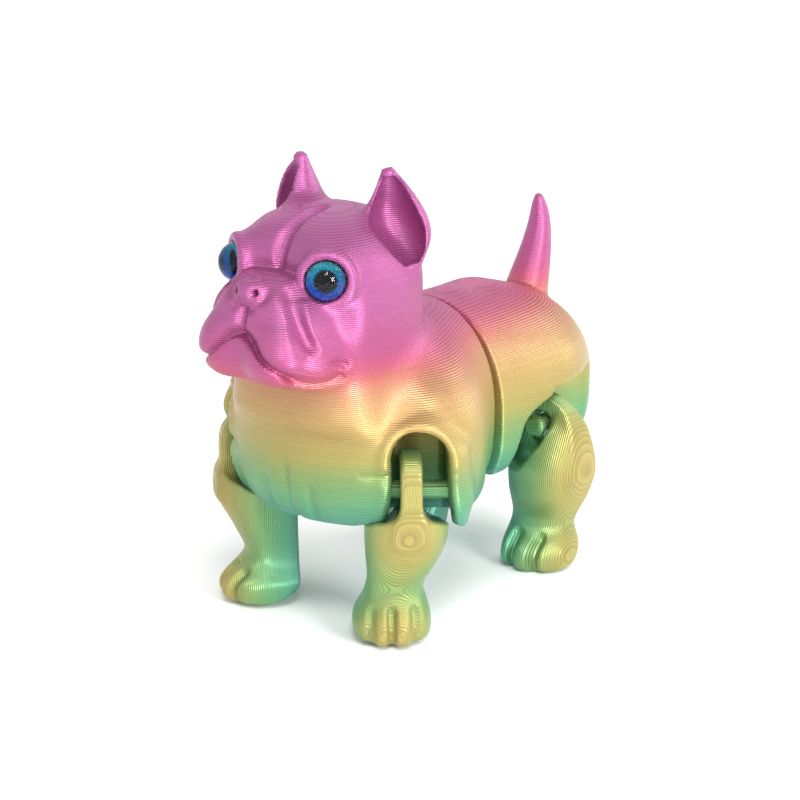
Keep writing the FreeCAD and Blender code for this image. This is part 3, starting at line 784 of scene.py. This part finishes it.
class BulldogLook(bpy.types.PropertyGroup):
    """Sizes and colours of the figure's finish."""

    layer_pitch: FloatProperty(name="Layer pitch", description="Height of one printed layer",
                               default=0.3 * MM, subtype="DISTANCE", unit="LENGTH")
    bead_depth: FloatProperty(name="Bead depth", description="How far a layer's bead stands out of a wall",
                              default=0.05 * MM, subtype="DISTANCE", unit="LENGTH")
    body_cell: FloatProperty(name="Body sampling", description="Sampling pitch of the two halves",
                             default=0.3344 * MM, subtype="DISTANCE", unit="LENGTH")
    leg_cell: FloatProperty(name="Leg sampling", description="Sampling pitch of the legs",
                            default=0.2 * MM, subtype="DISTANCE", unit="LENGTH")
    sheen_roughness: FloatProperty(name="Sheen roughness", description="Roughness of the silk filament",
                                   default=0.28, min=0.0, max=1.0, subtype="FACTOR")
    backdrop: FloatVectorProperty(name="Backdrop", description="Colour of the floor", subtype="COLOR",
                                  size=3, default=(0.9, 0.9, 0.9), min=0.0, max=1.0)


class BULLDOG_OT_halves(bpy.types.Operator):
    """Sculpt the front half, with its head and ears, and the rear half, with its tail"""

    bl_idname = "bulldog.halves"
    bl_label = "Front and rear halves"

    def execute(self, context):
        material = silk("silk_body", (0.0, 0.0, 1.0), BED)
        cell = context.scene.bulldog.body_cell / MM
        for node, clay in (("front_shell", front_clay(cell)), ("rear_shell", rear_clay(cell))):
            points, faces = clay.skin()
            piece = make_mesh(node + "_sculpt", points, faces.tolist(), material)
            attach(piece, "front_half" if node == "front_shell" else "rear_half")
            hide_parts(node)
        for name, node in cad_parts.items():
            if "hinge_bar" in name or "waist" in name:
                node.data.materials.clear()
                node.data.materials.append(material)
        return {"FINISHED"}


class BULLDOG_OT_legs(bpy.types.Operator):
    """Sculpt the four legs, each in one piece with its ring"""

    bl_idname = "bulldog.legs"
    bl_label = "Legs"

    def execute(self, context):
        cell = context.scene.bulldog.leg_cell / MM
        points, faces = front_leg_clay(cell).skin()
        u, v, z = points.T
        placed = np.stack([u * OUT[0] + v * ALONG[0], u * OUT[1] + v * ALONG[1] + AHEAD * MM, z], 1)
        start = 2.0 + OUT[1] * AHEAD
        materials = {side: silk("silk_front_leg_" + side, (sign * OUT[0], OUT[1], 0.0), start)
                     for side, sign in SIDES}
        leg_pair("front_{}_leg_sculpt", placed, faces, "front_{}_limb", "front_{}_leg", materials)
        points, faces = rear_leg_clay(cell).skin()
        materials = {side: silk("silk_rear_leg_" + side, (sign, 0.0, 0.0), 7.3) for side, sign in SIDES}
        placed = points + np.array([0.0, AHEAD * MM, 0.0])
        leg_pair("rear_{}_leg_sculpt", placed, faces, "rear_{}_limb", "rear_{}_leg", materials)
        return {"FINISHED"}


class BULLDOG_OT_eyes(bpy.types.Operator):
    """Glaze the eyes: a smooth glass dome over each printed iris"""

    bl_idname = "bulldog.eyes"
    bl_label = "Eyes"

    def execute(self, context):
        glass = glass_material()
        points, cap, base = eye_dome()
        for side, sign in SIDES:
            order = slice(None) if sign > 0 else slice(None, None, -1)
            faces = [face[order] for face in cap + base]
            piece = make_mesh(side + "_eye_dome", points * np.array([sign, 1, 1]), faces, glass,
                              flat=len(base))
            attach(piece, "front_half")
            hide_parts(side + "_eye_lens")
            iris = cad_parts[side + "_eye_iris"]
            iris.data.materials.clear()
            iris.data.materials.append(iris_material(side))
        return {"FINISHED"}


def area_light(name, place, aim, size, power):
    """A square soft light at place, turned towards aim, in metres: tipped by the angle whose tangent is
    level distance over height, and turned to the way it stands."""
    light = bpy.data.lights.new(name, "AREA")
    light.size, light.energy = size, power
    lamp = bpy.data.objects.new(name, light)
    bpy.context.scene.collection.objects.link(lamp)
    lamp.location = place
    away = np.array(place) - np.array(aim)
    lamp.rotation_euler = (math.atan2(math.hypot(away[0], away[1]), away[2]), 0.0,
                           math.atan2(away[0], -away[1]))


# Stage, in metres and watts
FLOOR_REACH = 3.0
LIGHT_AIM = (0.0, 0.0, 0.035)
LIGHTS = (  # name, place, size, power
    ("key", (0.3, -0.35, 0.6), 0.22, 2.1),
    ("side", (0.66, -0.16, 0.26), 0.24, 4.5),
    ("back", (0.2, 0.6, 0.5), 0.4, 2.0))
CAMERA_TARGET = (0.015, -0.02, 0.038)
CAMERA_TURN, CAMERA_LIFT = math.radians(38.0), math.radians(18.0)
CAMERA_AWAY, CAMERA_LENS = 0.38, 118.0


class BULLDOG_OT_stage(bpy.types.Operator):
    """Lay the pale floor, and set the soft lights and the camera"""

    bl_idname = "bulldog.stage"
    bl_label = "Stage"

    def execute(self, context):
        scene = context.scene
        corners = np.array([(-1, -1, 0), (1, -1, 0), (1, 1, 0), (-1, 1, 0)]) * FLOOR_REACH
        tree = Tree("floor", Roughness=0.9)
        grain = tree.noise(tree.node("ShaderNodeTexCoord", out=3), 300.0, 2.0) * 0.01
        colour = tree.vector(*(grain + (tone - 0.005) for tone in scene.bulldog.backdrop))
        floor = make_mesh("floor", corners, [[0, 1, 2, 3]], tree.finish(Base_Color=colour))
        world = bpy.data.worlds.new("studio")
        world.use_nodes = True
        background = world.node_tree.nodes["Background"]
        background.inputs["Color"].default_value = (1.0, 1.0, 1.0, 1.0)
        background.inputs["Strength"].default_value = 1.0
        scene.world = world
        for name, place, size, power in LIGHTS:
            area_light(name, place, LIGHT_AIM, size, power)
        camera = bpy.data.cameras.new("camera")
        camera.lens = CAMERA_LENS
        view = bpy.data.objects.new("camera", camera)
        scene.collection.objects.link(view)
        turn, lift = CAMERA_TURN, CAMERA_LIFT
        way = (math.sin(turn) * math.cos(lift), -math.cos(turn) * math.cos(lift), math.sin(lift))
        view.location = [t + CAMERA_AWAY * w for t, w in zip(CAMERA_TARGET, way)]
        view.rotation_euler = (math.radians(90) - lift, 0.0, turn)
        scene.camera = view
        scene.view_settings.view_transform = "Standard"
        return {"FINISHED"}


class BULLDOG_PT_panel(bpy.types.Panel):
    """The figure's pieces and finish"""

    bl_idname = "BULLDOG_PT_panel"
    bl_label = "Bulldog"
    bl_space_type = "VIEW_3D"
    bl_region_type = "UI"
    bl_category = "Bulldog"

    def draw(self, context):
        """List the finish's properties, then a button for each operator."""
        look = context.scene.bulldog
        for name in ("layer_pitch", "bead_depth", "body_cell", "leg_cell", "sheen_roughness", "backdrop"):
            self.layout.prop(look, name)
        for operator in OPERATORS:
            self.layout.operator(operator.bl_idname)


OPERATORS = (BULLDOG_OT_halves, BULLDOG_OT_legs, BULLDOG_OT_eyes, BULLDOG_OT_stage)
CLASSES = (BulldogLook, *OPERATORS, BULLDOG_PT_panel)


def register():
    """Add the classes, and the finish's properties on every scene."""
    for cls in CLASSES:
        bpy.utils.register_class(cls)
    bpy.types.Scene.bulldog = PointerProperty(type=BulldogLook)


def unregister():
    """Take the properties and classes away again."""
    del bpy.types.Scene.bulldog
    for cls in reversed(CLASSES):
        bpy.utils.unregister_class(cls)


def main():
    """Register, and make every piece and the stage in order."""
    register()
    bpy.ops.bulldog.halves()
    bpy.ops.bulldog.legs()
    bpy.ops.bulldog.eyes()
    bpy.ops.bulldog.stage()


if __name__ == "__main__":
    main()
